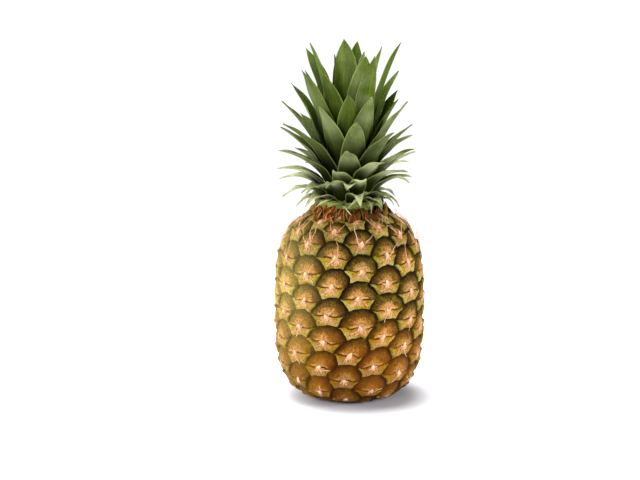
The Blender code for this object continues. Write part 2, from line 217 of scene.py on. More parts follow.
# Thin leaves wrapped round the crown's root, and others that stand out over the neck
WRAP_COUNT = 24
WRAP_ROOT_RADIUS = 0.0215
WRAP_BEND_RADIUS = 0.0340
WRAP_TIP_RADII = (0.0260, 0.0315)
WRAP_TURNS = (0.45, 0.75)
WRAP_ROOTS_MM = (4.0, 9.0)
WRAP_TIPS_MM = (8.0, 13.5)
WRAP_WIDTHS_MM = (7.0, 10.0)
WRAP_HOOKS_MM = (0.0, 1.5)
WRAP_AGE = -0.2
HAIR_COUNT = 16
HAIR_FIRST_ANGLE = 0.4
HAIR_ROOT_RADIUS = 0.0210
HAIR_ROOTS_MM = (9.0, 14.0)
HAIR_REACHES_MM = (36.0, 44.0)
HAIR_RISES_MM = (3.0, 6.0)
HAIR_DROPS_MM = (1.0, 4.0)
HAIR_WIDTHS_MM = (3.5, 6.5)

# Rings of neck bracts, from the outermost, in mm over the seat:
# (bracts, share of them kept, root radius and height, tip radius and height, width)
NECK_RINGS = (
    (25, 0.60, 37.0, -5.2, 32.5, 3.5, 7.5),
    (26, 0.80, 34.5, -4.0, 31.0, 5.0, 8.0),
    (26, 0.90, 32.0, -2.6, 29.5, 6.5, 8.0),
    (25, 1.00, 29.5, -1.6, 28.0, 8.0, 8.0),
    (24, 1.00, 27.0, -0.8, 26.5, 9.0, 8.0),
)
NECK_ALONG = 10
NECK_ACROSS = 4
NECK_THICK = 0.0009
NECK_BULGE_MM = 1.2

# Camera, for an image of 640 x 480: where the axis stands and where the aimed height falls
CAMERA_DISTANCE = 1.400
CAMERA_ELEVATION = math.radians(10.0)
AIM_HEIGHT = 0.150
FOCAL_PIXELS = 1671.0
IMAGE_WIDTH, IMAGE_HEIGHT = 640, 480
AXIS_PIXEL_X = 349.5
AIM_PIXEL_Y = 218.6
SENSOR_MM = 36.0

# Studio: disc lamps as (name, place, size, watts, colour), all aimed at one point
WHITE = (1.0, 1.0, 1.0)
LAMP_TARGET = (0.0, 0.0, 0.15)
LAMPS = (
    ("overhead", (-0.15, 0.18, 1.25), 1.1, 21.0, WHITE),
    ("key", (-0.50, -1.25, 0.50), 0.7, 7.8, (1.0, 0.985, 0.96)),
    ("side_left", (-1.15, -0.10, 0.40), 0.5, 14.0, WHITE),
    ("side_right", (1.10, -0.40, 0.45), 0.5, 14.0, WHITE),
)
AMBIENT = 0.22
BACKDROP = 1.05
FLOOR_RADIUS = 0.62
FLOOR_SIDES = 96
# The floor is a darker pale grey-blue up to the first distance from the middle of the object's shadow, a
# painted shadow under the real one, and glows white past the second as painted light
FLOOR_FADE = (0.036, 0.086)
SHADOW_MIDDLE = (0.010, -0.012, 0.0)
FLOOR_COLOUR = (0.50, 0.50, 0.54)


# Small helpers

def srgb(red, green, blue):
    """A colour given as display values from 0 to 255, in linear light."""
    shares = (red / 255.0, green / 255.0, blue / 255.0)
    return tuple(v / 12.92 if v < 0.04045 else ((v + 0.055) / 1.055) ** 2.4 for v in shares)


def smooth_step(value):
    held = np.clip(value, 0.0, 1.0)
    return held * held * (3.0 - 2.0 * held)


def hump(value, middle, half_width):
    """1 at the middle, fading to nothing on both sides of it."""
    return np.exp(-(((value - middle) / half_width) ** 2))


def placed(name, data):
    """A new object in the scene that shows the data."""
    made = bpy.data.objects.new(name, data)
    bpy.context.scene.collection.objects.link(made)
    return made


def mesh_object(name, vertices, faces, joined_within, **layers):
    """A smooth mesh in the scene. A layer is a UV map that holds two numbers for each face corner."""
    mesh = bpy.data.meshes.new(name)
    mesh.from_pydata([tuple(v) for v in vertices], [], faces)
    mesh.shade_smooth()
    for layer_name, values in layers.items():
        layer = mesh.uv_layers.new(name=layer_name)
        layer.uv.foreach_set("vector", np.asarray(values, np.float32).ravel())
    if joined_within:
        bm = bmesh.new()
        bm.from_mesh(mesh)
        bmesh.ops.delete(bm, geom=[v for v in bm.verts if not v.link_faces], context="VERTS")
        bmesh.ops.remove_doubles(bm, verts=bm.verts, dist=joined_within)
        bmesh.ops.dissolve_degenerate(bm, dist=joined_within, edges=bm.edges)
        bmesh.ops.recalc_face_normals(bm, faces=bm.faces)
        bm.to_mesh(mesh)
        bm.free()
    return placed(name, mesh)


class Strips:
    """Closed strips gathered into one mesh, each with two marks of its own."""

    def __init__(self):
        self.vertices, self.faces, self.corners = [], [], []

    def add(self, made, rows, across, *marks):
        """One strip from its vertices: row by row over its front, then over its back."""
        columns = across + 1
        size = rows * columns
        faces = []
        for i in range(rows - 1):
            for c in range(across):
                a = i * columns + c
                faces.append((a, a + columns, a + columns + 1, a + 1))
                faces.append((size + a + 1, size + a + columns + 1, size + a + columns, size + a))
            low, high = i * columns, (i + 1) * columns
            for a, b in ((low, high), (high + across, low + across)):
                faces.append((a, size + a, size + b, b))
        for c in range(across):
            faces.append((c, c + 1, size + c + 1, size + c))
            end = (rows - 1) * columns + c
            faces.append((end + 1, end, size + end, size + end + 1))
        first = len(self.vertices)
        self.vertices.extend(made)
        self.faces.extend(tuple(first + i for i in face) for face in faces)
        for slot in (i % size for face in faces for i in face):
            side, along = 2.0 * (slot % columns) / across - 1.0, (slot // columns) / (rows - 1.0)
            self.corners.append((side, along) + marks)

    def layer(self, first, second):
        """Two numbers a corner: 0 is the place across, 1 the place along, 2 and 3 the marks."""
        return np.array(self.corners)[:, (first, second)]


def turned_piece(name, profile, lift, sides):
    """A mesh turned about Z from (radius, height) points, lifted by a height."""
    vertices, faces = [], []
    for radius, height in profile:
        for k in range(sides):
            turn = FULL_TURN * k / sides
            vertices.append((radius * math.cos(turn), radius * math.sin(turn), lift + height))
    for r in range(len(profile) - 1):
        for k in range(sides):
            a, b = r * sides + k, r * sides + (k + 1) % sides
            faces.append((a, b, b + sides, a + sides))
    return mesh_object(name, vertices, faces, GRID_WELD)


# Turned profile of the fruit, from the top pole down to the base plane

def barrel_profile():
    """Arc length from the top pole, radius and height along the profile."""
    angles = np.linspace(math.pi / 2, -math.pi / 2, PROFILE_SAMPLES)
    above = angles > 0
    rise = np.where(above, RISE_ABOVE_EQUATOR, DROP_BELOW_EQUATOR)
    power = np.where(above, UPPER_POWER, LOWER_POWER)
    reach = (
        (np.abs(np.cos(angles)) / FRUIT_RADIUS) ** power + (np.abs(np.sin(angles)) / rise) ** power
    ) ** (-1.0 / power)
    radius = reach * np.cos(angles)
    height = EQUATOR_Z + reach * np.sin(angles)
    base_radius = float(np.interp(0.0, height[::-1], radius[::-1]))
    above_base = height > 0.0
    radius = np.append(radius[above_base], base_radius)
    height = np.append(height[above_base], 0.0)
    arc = np.concatenate([[0.0], np.cumsum(np.hypot(np.diff(radius), np.diff(height)))])
    return arc, radius, height


ARC, RADIUS, HEIGHT = barrel_profile()
BASE_ARC = float(ARC[-1])
WIDEST = int(np.argmax(RADIUS))
TOP_SEAT_ARC = float(np.interp(TOP_SEAT_RADIUS, RADIUS[:WIDEST], ARC[:WIDEST]))
TOP_SEAT_Z = float(np.interp(TOP_SEAT_ARC, ARC, HEIGHT))
SEAT = TOP_SEAT_Z + NODE_GAP


def eye_size(arc):
    """Eyes shrink where the fruit narrows to less than the full-size radius."""
    radius = np.interp(arc, ARC, RADIUS)
    return np.minimum(1.0, np.maximum(radius, SMALLEST_RADIUS) / FULL_SIZE_RADIUS) ** EYE_SHRINK_POWER


def row_table(step=0.02, rows=9.0):
    """Arc length at each row number, row 0 being the first eye's, rows positive downwards."""
    down, up = [FIRST_EYE_ARC], [FIRST_EYE_ARC]
    for _ in range(int(rows / step)):
        down.append(down[-1] + step * EYE_ROW_HEIGHT * float(eye_size(down[-1])))
        up.append(up[-1] - step * EYE_ROW_HEIGHT * float(eye_size(up[-1])))
    numbers = np.arange(-len(up) + 1, len(down)) * step
    return numbers, np.array(up[:0:-1] + down)


ROW_NUMBERS, ROW_ARCS = row_table()


def lattice_to_sheet(angle, row):
    """Angle round the fruit and arc length of lattice points, with the growth's unevenness."""
    arc = np.interp(row, ROW_NUMBERS, ROW_ARCS)
    lean = COLUMN_LEAN * smooth_step((arc - COLUMN_LEAN_FROM_ARC) / COLUMN_LEAN_SPAN)
    waver = WAVER_ROUND * np.sin(3.0 * angle + 90.0 * arc)
    arc = arc + WAVER_ALONG * np.sin(5.0 * angle - 70.0 * arc) * eye_size(arc)
    angle = angle + lean + waver
    # Fine unevenness of the outlines, in waves of about 8 to 14 mm
    turn = np.sin(43.0 * angle + 520.0 * arc) + np.sin(29.0 * angle - 700.0 * arc)
    slide = np.sin(31.0 * angle + 640.0 * arc) + np.sin(53.0 * angle - 480.0 * arc)
    return angle + CRINKLE / FRUIT_RADIUS * turn, arc + CRINKLE * slide * eye_size(arc)


def sheet_to_space(angle, arc, raised, fades=True):
    """Points of the fruit's skin at these angles and arc lengths, raised along the normal."""
    arc = np.clip(arc, TOP_SEAT_ARC, BASE_ARC)
    ahead, behind = np.minimum(arc + NORMAL_REACH, BASE_ARC), np.maximum(arc - NORMAL_REACH, 0.0)
    slope_r = np.interp(ahead, ARC, RADIUS) - np.interp(behind, ARC, RADIUS)
    slope_z = np.interp(ahead, ARC, HEIGHT) - np.interp(behind, ARC, HEIGHT)
    length = np.hypot(slope_r, slope_z)
    fade = smooth_step((BASE_ARC - arc) / RELIEF_FADE_BASE)
    if fades:
        fade = fade * smooth_step((arc - TOP_SEAT_ARC) / RELIEF_FADE_TOP)
    radius = np.interp(arc, ARC, RADIUS) + raised * fade * -slope_z / length
    height = np.interp(arc, ARC, HEIGHT) + raised * fade * slope_r / length
    return np.stack([radius * np.cos(angle), radius * np.sin(angle), np.maximum(height, 0.0)], -1)


def eye_to_sheet(number, x, y):
    """Angle and arc length of one eye's tile points, in columns to the right and rows down."""
    angle = FIRST_EYE_ANGLE + number * EYE_TURN + x * COLUMN_TURN
    return lattice_to_sheet(angle, number / EYE_COLUMNS + y)


def eye_to_space(number, x, y, raised, fades=True):
    """The same points in space, raised by metres."""
    angle, arc = eye_to_sheet(number, x, y)
    return sheet_to_space(angle, arc, raised * eye_size(arc), fades)


def eye_centre(number):
    angle, arc = eye_to_sheet(number, 0.0, 0.0)
    return float(angle), float(arc)


def eyes_on_fruit():
    """Numbers of the eyes whose tiles reach the fruit's skin."""
    first, last = TOP_SEAT_ARC - EYE_ROW_HEIGHT, BASE_ARC + EYE_ROW_HEIGHT
    return [n for n in range(-6 * EYE_COLUMNS, 8 * EYE_COLUMNS) if first < eye_centre(n)[1] < last]


# One eye's outline in lattice units: columns to the right, rows downwards

def outline_edge(side, fractions):
    """Points along the edge that faces neighbour number side, bowed upwards like the eyes' round tops."""
    right_up = np.array((1.0, -SPIRALS_LEFT_DOWN / EYE_COLUMNS))
    right_down = np.array((1.0, SPIRALS_RIGHT_DOWN / EYE_COLUMNS))
    up = np.array((0.0, -1.0))
    ring = (up, right_up, right_down, -up, -right_up, -right_down)
    facing = ring[side % 6]
    start = (ring[(side - 1) % 6] + facing) / 3.0
    end = (facing + ring[(side + 1) % 6]) / 3.0
    bow = OUTLINE_BOW_TOP if side % 3 == 0 else OUTLINE_BOW_SIDE
    outward = facing / np.linalg.norm(facing) * (bow if facing[1] < 0.0 else -bow)
    f = np.asarray(fractions)[:, None]
    return start + (end - start) * f + outward * 4.0 * f * (1.0 - f)


def eye_draw(number):
    """One eye's own small differences, the same on every run."""
    draw = random.Random(EYE_SEED + number)
    return {
        "phase": draw.uniform(*ANY_PHASE),
        "lean": draw.uniform(-0.07, 0.07),
        "tilt": draw.uniform(-0.07, 0.07),
        "fullness": draw.uniform(0.92, 1.08),
        "shade": draw.random(),
        "age": draw.random(),
    }


def slit_row(x, draw):
    """Row of the slit across one eye: a little tilted and wavy, and raised in the middle."""
    peak = SLIT_PEAK * hump(x, draw["lean"], SLIT_PEAK_WIDTH)
    return SLIT_ROW + draw["tilt"] * x - peak + SLIT_WAVE * np.sin(13.0 * x + draw["phase"])


def tile_outline():
    """The upper and the lower outline of a tile, both from left to right."""
    steps = np.arange(EDGE_STEPS + 1) / EDGE_STEPS
    upper = [outline_edge(side, steps)[:-1] for side in (5, 0, 1)] + [outline_edge(1, [1.0])]
    lower = [outline_edge(side, steps[::-1])[:-1] for side in (4, 3, 2)] + [outline_edge(2, [0.0])]
    return np.concatenate(upper), np.concatenate(lower)


def tile_grid(draw):
    """Lattice x and y of one eye's mesh points, and their place down it: 1 at the slit, 2 at its end."""
    upper, lower = tile_outline()
    middle = upper + (lower - upper) * SLIT_PLACE
    span = np.maximum(lower[:, 1] - upper[:, 1], 1e-6)
    share = np.clip((slit_row(middle[:, 0], draw) - upper[:, 1]) / span, *SLIT_SHARES)
    slit = upper + (lower - upper) * share[:, None]
    rows = [upper + (slit - upper) * t for t in DOME_ROWS] + [slit + (lower - slit) * t for t in BRACT_ROWS]
    points = np.array(rows)
    downs = np.array(list(DOME_ROWS) + [1.0 + t for t in BRACT_ROWS])
    return points[..., 0], points[..., 1], np.broadcast_to(downs[:, None], points.shape[:2])


def gap_to(line, x, y):
    """Distance in mm from tile points to a line of tile points, on a full-sized eye."""
    wide, high = COLUMN_TURN * FRUIT_RADIUS / MM, ROW_MM
    a, b = line[:-1], line[1:]
    px, py = (x[..., None] - a[:, 0]) * wide, (y[..., None] - a[:, 1]) * high
    dx, dy = (b[:, 0] - a[:, 0]) * wide, (b[:, 1] - a[:, 1]) * high
    share = np.clip((px * dx + py * dy) / (dx * dx + dy * dy), 0.0, 1.0)
    return np.hypot(px - share * dx, py - share * dy).min(-1)


def eye_relief_mm(x, y, down, arch, hem, draw):
    """Height of one eye's skin over the groove, from the gaps in mm to its upper and lower outline."""
    lean, phase = draw["lean"], draw["phase"]
    over = (slit_row(x, draw) - y) * ROW_MM
    side = (x - lean) * COLUMN_MM
    wide = smooth_step((SLIT_HALF_LENGTH - np.abs(x - lean)) / 0.14)
    slit = SLIT_MM * hump(over, 0.0, SLIT_HALF_MM) * wide
    # Above the slit a dome, creased and wrinkled like rays from the slit's middle
    swell = 1.0 - np.exp(-np.maximum(arch - DOME_FOOT_MM, 0.0) / DOME_RISE_MM)
    bearing = np.arctan2(side, np.maximum(over + 1.5, 0.3))
    far = np.hypot(side, over)
    window = smooth_step((far - 0.8) / 2.0) * smooth_step((12.5 - far) / 6.0)
    creases = sum(hump(bearing, at, CREASE_WIDTH) for at in CREASE_BEARINGS)
    wrinkle = np.sin(bearing * 17.0 + phase) + 0.6 * np.sin(bearing * 25.0 - 2.0 * phase + 0.5 * far)
    lumps = np.sin(side * 1.3 + phase) * np.sin(over * 1.1 - phase)
    dome = DOME_SWELL_MM * swell * smooth_step(hem / 1.2) - CREASE_MM * creases * window
    dome = dome + WRINKLE_MM * wrinkle * smooth_step((arch - 1.0) / 2.0) + LUMP_MM * lumps
    dome = dome + BROW_MM * hump(over, BROW_HEIGHT_MM, BROW_HALF_MM) * wide
    # Below it the bract, with fibres, a keel down its middle and a lip at its hem
    shelf = SHELF_MM + SHELF_RISE_MM * np.exp(-np.maximum(-over, 0.0) / SHELF_REACH_MM)
    fibre = WRINKLE_MM * np.sin(side * 2.1 + phase * 3.0 + 0.25 * side * over)
    keel = KEEL_MM * hump(side, 0.0, KEEL_HALF_MM) * smooth_step((8.0 + over) / 8.0)
    lip = LIP_MM * hump(hem, LIP_FROM_HEM_MM, LIP_HALF_MM)
    bract = (shelf + fibre + keel + lip) * smooth_step((hem + 0.25) / 0.95) * smooth_step(hem / 0.25)
    return np.where(down <= 1.0, np.maximum(dome, 0.0) - slit, bract - slit) * draw["fullness"]


def make_rind():
    """Every eye's grid, cut at the top seat and the base, welded along the outlines that neighbours share."""
    upper, lower = tile_outline()
    rows, columns = len(DOME_ROWS) + len(BRACT_ROWS), len(upper)
    starts = np.array([r * columns + c for r in range(rows - 1) for c in range(columns - 1)])
    quads = np.stack([starts, starts + columns, starts + columns + 1, starts + 1], -1)
    vertices, faces, tile_uv, edge_uv, draw_uv = [], [], [], [], []
    for number in eyes_on_fruit():
        draw = eye_draw(number)
        x, y, down = tile_grid(draw)
        arch, hem = gap_to(upper, x, y), gap_to(lower, x, y)
        raised = eye_relief_mm(x, y, down, arch, hem, draw) * MM
        arcs = eye_to_sheet(number, x, y)[1].ravel()[quads]
        kept = quads[(arcs.min(1) < BASE_ARC) & (arcs.max(1) > TOP_SEAT_ARC)]
        first = len(vertices) * rows * columns
        vertices.append(eye_to_space(number, x, y, raised).reshape(-1, 3))
        faces.extend((kept + first).tolist())
        corners = kept.ravel()
        over = slit_row(x, draw) - y
        tile_uv.append(np.stack([x.ravel()[corners] - draw["lean"], over.ravel()[corners]], -1))
        edge_uv.append(np.stack([arch.ravel()[corners] / 10.0, hem.ravel()[corners] / 10.0], -1))
        draw_uv.append(np.tile((draw["shade"], draw["age"]), (len(corners), 1)))
    tile, edge, mark = (np.concatenate(values) for values in (tile_uv, edge_uv, draw_uv))
    return mesh_object("rind", np.concatenate(vertices), faces, GRID_WELD, tile=tile, edge=edge, draw=mark)


def make_base_ring():
    """The flat ring that the fruit stands on, its rim turned up into the socket."""
    return turned_piece("base_ring", ((float(RADIUS[-1]), 0.0),) + BASE_RING, 0.0, BASE_SIDES)


def ribbon(points, sideways, outward, widths, thick, across, arch):
    """A strip's vertices along points, arched across and thinner towards its margins and its end."""
    vertices = []
    count = len(points)
    for skin in (1.0, -1.0):
        for i in range(count):
            deep = thick * (1.0 - 0.6 * i / (count - 1.0)) / 2.0
            for c in range(across + 1):
                side = 2.0 * c / across - 1.0
                place = points[i] + sideways[i] * side * widths[i] / 2.0
                lift = arch * widths[i] * (1.0 - side * side) + skin * deep * (1.0 - 0.7 * abs(side))
                vertices.append(place + outward[i] * lift)
    return vertices


def lay_strand(strips, number, x, y, raised, widths, thick, arch, tone):
    """One dry strand over an eye, from tile points, heights over the skin and widths."""
    points = eye_to_space(number, x, y, raised, fades=False)
    outward = eye_to_space(number, x, y, raised + MM, fades=False) - points
    outward /= np.maximum(np.linalg.norm(outward, axis=1), 1e-9)[:, None]
    sideways = np.cross(np.gradient(points, axis=0), outward)
    sideways /= np.maximum(np.linalg.norm(sideways, axis=1), 1e-9)[:, None]
    made = ribbon(points, sideways, outward, widths, thick, STRAND_ACROSS, arch)
    strips.add(made, STRAND_STEPS, STRAND_ACROSS, tone)


def make_bract_tips():
    """The papery tips of the eyes' bracts: a flap and splinters over each slit, whiskers on the shoulder."""
    strips = Strips()
    share = np.linspace(0.0, 1.0, STRAND_STEPS)
    for number in eyes_on_fruit():
        angle, arc = eye_centre(number)
        if not TOP_SEAT_ARC + TIPS_FROM_SEAT < arc < BASE_ARC - TIPS_FROM_BASE:
            continue
        draw = random.Random(TIP_SEED + number)
        eye = eye_draw(number)
        lean = eye["lean"]
        slit = float(slit_row(np.array(lean), eye))
        # The flap: its root sunk in the bract under the slit, its point over the slit
        reach = FLAP_REACH + draw.uniform(-0.04, 0.05)
        x = lean + draw.uniform(-0.06, 0.06) * share ** 1.5
        y = slit + 0.17 - reach * share
        raised = (1.7 + 1.45 * smooth_step(share * 2.2) + draw.uniform(0.0, 0.7) * share ** 3) * MM
        wide = draw.uniform(*FLAP_WIDTHS_MM)
        widths = (wide * (0.75 + 0.6 * share) * (1.0 - share ** 2.4) + 0.3) * MM
        lay_strand(strips, number, x, y, raised, widths, 0.5 * MM, STRAND_ARCH, draw.uniform(0.0, 0.5))
        # Splinters that fan out round it
        for turn in SPLINTER_TURNS:
            turn += draw.uniform(-0.25, 0.25)
            reach = draw.uniform(*SPLINTER_LENGTHS) + 0.04 * (turn > 2.0)
            x = lean + math.sin(turn) * (0.03 + reach * share)
            y = slit + 0.06 - math.cos(turn) * reach * share * 0.9
            raised = (2.2 + 0.65 * np.sin(share * 2.6)) * MM
            widths = (draw.uniform(*SPLINTER_WIDTHS_MM) * (1.0 - share ** 1.4) + 0.2) * MM
            lay_strand(strips, number, x, y, raised, widths, 0.4 * MM, STRAND_ARCH, draw.uniform(0.1, 0.9))
        # Long whiskers on the shoulder, more of them on its flanks, lifting off the skin
        shoulder = float(np.clip((SHOULDER_ARC - arc) / SHOULDER_SPAN, 0.0, 1.0))
        flank = 0.12 + 1.5 * abs(math.cos(angle))
        for _ in range(round(shoulder * flank * draw.uniform(*WHISKER_COUNTS))):
            length = draw.uniform(*WHISKER_LENGTHS)
            turn = draw.uniform(-0.7, 0.7)
            curl = draw.uniform(-0.30, 0.30)
            x = lean + 0.10 * math.sin(3.0 * turn) + math.sin(turn) * length * share + curl * share ** 2
            y = slit + 0.10 - math.cos(turn) * length * share
            raised = (2.7 + draw.uniform(*WHISKER_LIFTS_MM) * share ** 1.6) * MM
            widths = draw.uniform(*WHISKER_WIDTHS_MM) * (1.0 - 0.8 * share) * MM
            tone = draw.choice(WHISKER_TONES)
            lay_strand(strips, number, x, y, raised, widths, 0.35 * MM, STRAND_ARCH, tone)
        # A loose fibre across some of the eyes
        if draw.random() < LOOSE_FIBRE_SHARE:
            turn = draw.uniform(*ANY_PHASE)
            bend = draw.uniform(-0.35, 0.35)
            reach = share - 0.4
            x = lean + LOOSE_FIBRE_LENGTH * reach * math.cos(turn) + bend * reach ** 2
            y = slit + 0.1 + LOOSE_FIBRE_LENGTH * reach * math.sin(turn)
            raised = (3.1 + 0.3 * np.sin(share * 6.0)) * MM
            widths = np.full(STRAND_STEPS, LOOSE_FIBRE_MM * MM)
            lay_strand(strips, number, x, y, raised, widths, 0.3 * MM, 0.0, 1.0)
    strand = strips.layer(1, 2)
    return mesh_object("bract_tips", strips.vertices, strips.faces, STRAND_WELD, strand=strand)


# Crown: the same rule as the CAD's for each leaf's root, bend and tip

def around_axis(radius, azimuth, height):
    """A point beside the fruit's top seat, by radius and turn and its height above the seat."""
    return np.array((math.cos(azimuth) * radius, math.sin(azimuth) * radius, SEAT + height))


def curve_at(line, share):
    """Points on the curve from root over bend to tip."""
    root, bend, tip = line
    return root * (1 - share) ** 2 + bend * 2 * share * (1 - share) + tip * share ** 2


def leaf_facts(number):
    """Azimuth, tip reach, tip height, start elevation, bow and width of one leaf, a little irregular."""
    age = number / (LEAF_COUNT - 1.0)
    ages, *columns = zip(*LEAF_AGES)
    reach, height, start, bow, width = (np.interp(age, ages, column) for column in columns)
    draw = random.Random(LEAF_SEED * 1000 + number)
    azimuth = FIRST_LEAF_ANGLE + number * LEAF_TURN + math.radians(draw.uniform(-5.0, 5.0))
    reach *= 1.0 + draw.uniform(-0.08, 0.08)
    height += draw.uniform(-4.0, 4.0)
    if number in MEASURED_TIPS:
        across, height = MEASURED_TIPS[number]
        depth = reach * math.sin(azimuth)
        reach, azimuth = math.hypot(across, depth), math.atan2(depth, across)
    return azimuth, reach / 1000.0, height / 1000.0, math.radians(start), bow, width / 1000.0


def leaf_line(number):
    """Root, bend and tip of one leaf."""
    azimuth, reach, height, start, bow, _ = leaf_facts(number)
    age = number / (LEAF_COUNT - 1.0)
    root_height = LEAF_ROOT_HEIGHTS[0] + (LEAF_ROOT_HEIGHTS[1] - LEAF_ROOT_HEIGHTS[0]) * age
    core_radii, core_heights = zip(*CORE_PROFILE)
    core_radius = float(np.interp(root_height, core_heights, core_radii))
    root_radius = max(core_radius - LEAF_ROOT_DEPTH, 0.001)
    chord = math.hypot(reach - root_radius, height - root_height)
    bend_radius = root_radius + bow * chord * math.cos(start)
    bend_height = root_height + bow * chord * math.sin(start)
    return (
        around_axis(root_radius, azimuth, root_height),
        around_axis(bend_radius, azimuth, bend_height),
        around_axis(reach, azimuth, height),
    )


def leaf_width(share, width, age):
    """Narrowed at the root, broad for most of its length, then drawn to a point."""
    root = LEAF_ROOT_SHARE + (1.0 - LEAF_ROOT_SHARE) * smooth_step(share / 0.35)
    ages, powers = zip(*LEAF_TAPERS)
    taper = np.maximum(1.0 - share ** np.interp(age, ages, powers), 0.0) ** 0.95
    return np.maximum(width * root * taper, 0.0004)


def add_blade(strips, line, width, age, draw, hook, upright):
    """One leaf: a channelled blade, thinner at its margins."""
    root, bend, tip = line
    twist = draw.uniform(-LEAF_TWIST, LEAF_TWIST)
    phase, wave = draw.uniform(*ANY_PHASE), draw.uniform(*RUFFLES_MM) * MM
    tone = draw.random()
    sideways = np.array((0.0, 0.0, 1.0)) if upright else np.array((-tip[1], tip[0], 0.0))
    sideways /= np.linalg.norm(sideways)
    front, back = [], []
    for i in range(LEAF_ALONG + 1):
        share = 1.0 - (1.0 - i / LEAF_ALONG) ** 1.3
        hang = np.array((0.0, 0.0, hook * share ** HOOK_POWER))
        dip = np.array((0.0, 0.0, 0.5 * HOOK_POWER * hook * share ** (HOOK_POWER - 1)))
        centre = curve_at(line, share) - hang
        along = (bend - root) * (1 - share) + (tip - bend) * share - dip
        along /= np.linalg.norm(along)
        inward = np.cross(along, sideways)
        turn = twist * share ** 1.5
        across_dir = sideways * math.cos(turn) + inward * math.sin(turn)
        face_dir = inward * math.cos(turn) - sideways * math.sin(turn)
        wide = float(leaf_width(share, width, age))
        for c in range(LEAF_ACROSS + 1):
            side = 2.0 * c / LEAF_ACROSS - 1.0
            channel = LEAF_CHANNEL * wide * (0.35 * abs(side) + 0.65 * side * side)
            ruffle = wave * math.sin(share * 17.0 + phase + side) * side * side
            thick = LEAF_EDGE_THICK + (LEAF_THICK - LEAF_EDGE_THICK) * (1.0 - abs(side) ** 1.5)
            thick *= 1.0 - 0.55 * share
            middle = centre + across_dir * (side * wide / 2.0) + face_dir * (channel + ruffle)
            front.append(middle + face_dir * thick / 2.0)
            back.append(middle - face_dir * thick / 2.0)
    strips.add(front + back, LEAF_ALONG + 1, LEAF_ACROSS, age, tone)


def crown_blades():
    """Every leaf as (line, width, age, draw, hook, upright): the rosette, then the thin ones."""
    for number in range(LEAF_COUNT):
        draw = random.Random(BLADE_SEED + number)
        age = number / (LEAF_COUNT - 1.0)
        hook = draw.uniform(*HOOKS_MM) * MM * max(0.0, 1.0 - 2.5 * age)
        yield leaf_line(number), leaf_facts(number)[-1], age, draw, hook, False
    for number in range(WRAP_COUNT):
        draw = random.Random(WRAP_SEED + number)
        azimuth = number * LEAF_TURN
        turn = draw.choice((-1.0, 1.0)) * draw.uniform(*WRAP_TURNS)
        low, high = draw.uniform(*WRAP_ROOTS_MM) * MM, draw.uniform(*WRAP_TIPS_MM) * MM
        root = around_axis(WRAP_ROOT_RADIUS, azimuth, low)
        bend = around_axis(WRAP_BEND_RADIUS, azimuth + turn, (low + high) / 2.0 + MM)
        tip = around_axis(draw.uniform(*WRAP_TIP_RADII), azimuth + 2.0 * turn, high)
        width = draw.uniform(*WRAP_WIDTHS_MM) * MM
        yield (root, bend, tip), width, WRAP_AGE, draw, draw.uniform(*WRAP_HOOKS_MM) * MM, True
    for number in range(HAIR_COUNT):
        draw = random.Random(HAIR_SEED + number)
        azimuth = number * LEAF_TURN + HAIR_FIRST_ANGLE
        height = draw.uniform(*HAIR_ROOTS_MM) * MM
        reach = draw.uniform(*HAIR_REACHES_MM) * MM
        root = around_axis(HAIR_ROOT_RADIUS, azimuth, height)
        drift = draw.uniform(-0.2, 0.2)
        bend = around_axis(reach * 0.85, azimuth + drift, height + draw.uniform(*HAIR_RISES_MM) * MM)
        drift = draw.uniform(-0.35, 0.35)
        tip = around_axis(reach, azimuth + drift, height - draw.uniform(*HAIR_DROPS_MM) * MM)
        width = draw.uniform(*HAIR_WIDTHS_MM) * MM
        yield (root, bend, tip), width, 0.0, draw, draw.uniform(*HOOKS_MM) * MM, False


def make_crown():
    strips = Strips()
    for blade in crown_blades():
        add_blade(strips, *blade)
    layers = {"blade": strips.layer(0, 1), "tint": strips.layer(2, 3)}
    return mesh_object("crown_leaves", strips.vertices, strips.faces, 0.0, **layers)


def make_core():
    top_radius, top_height = CORE_PROFILE[-1]
    profile = ((0.0, 0.0),) + CORE_PROFILE + ((0.0, top_height + top_radius),)
    return turned_piece("crown_core", profile, SEAT, CORE_SIDES)


# Neck: overlapping rings of small bracts that hug the crown's root

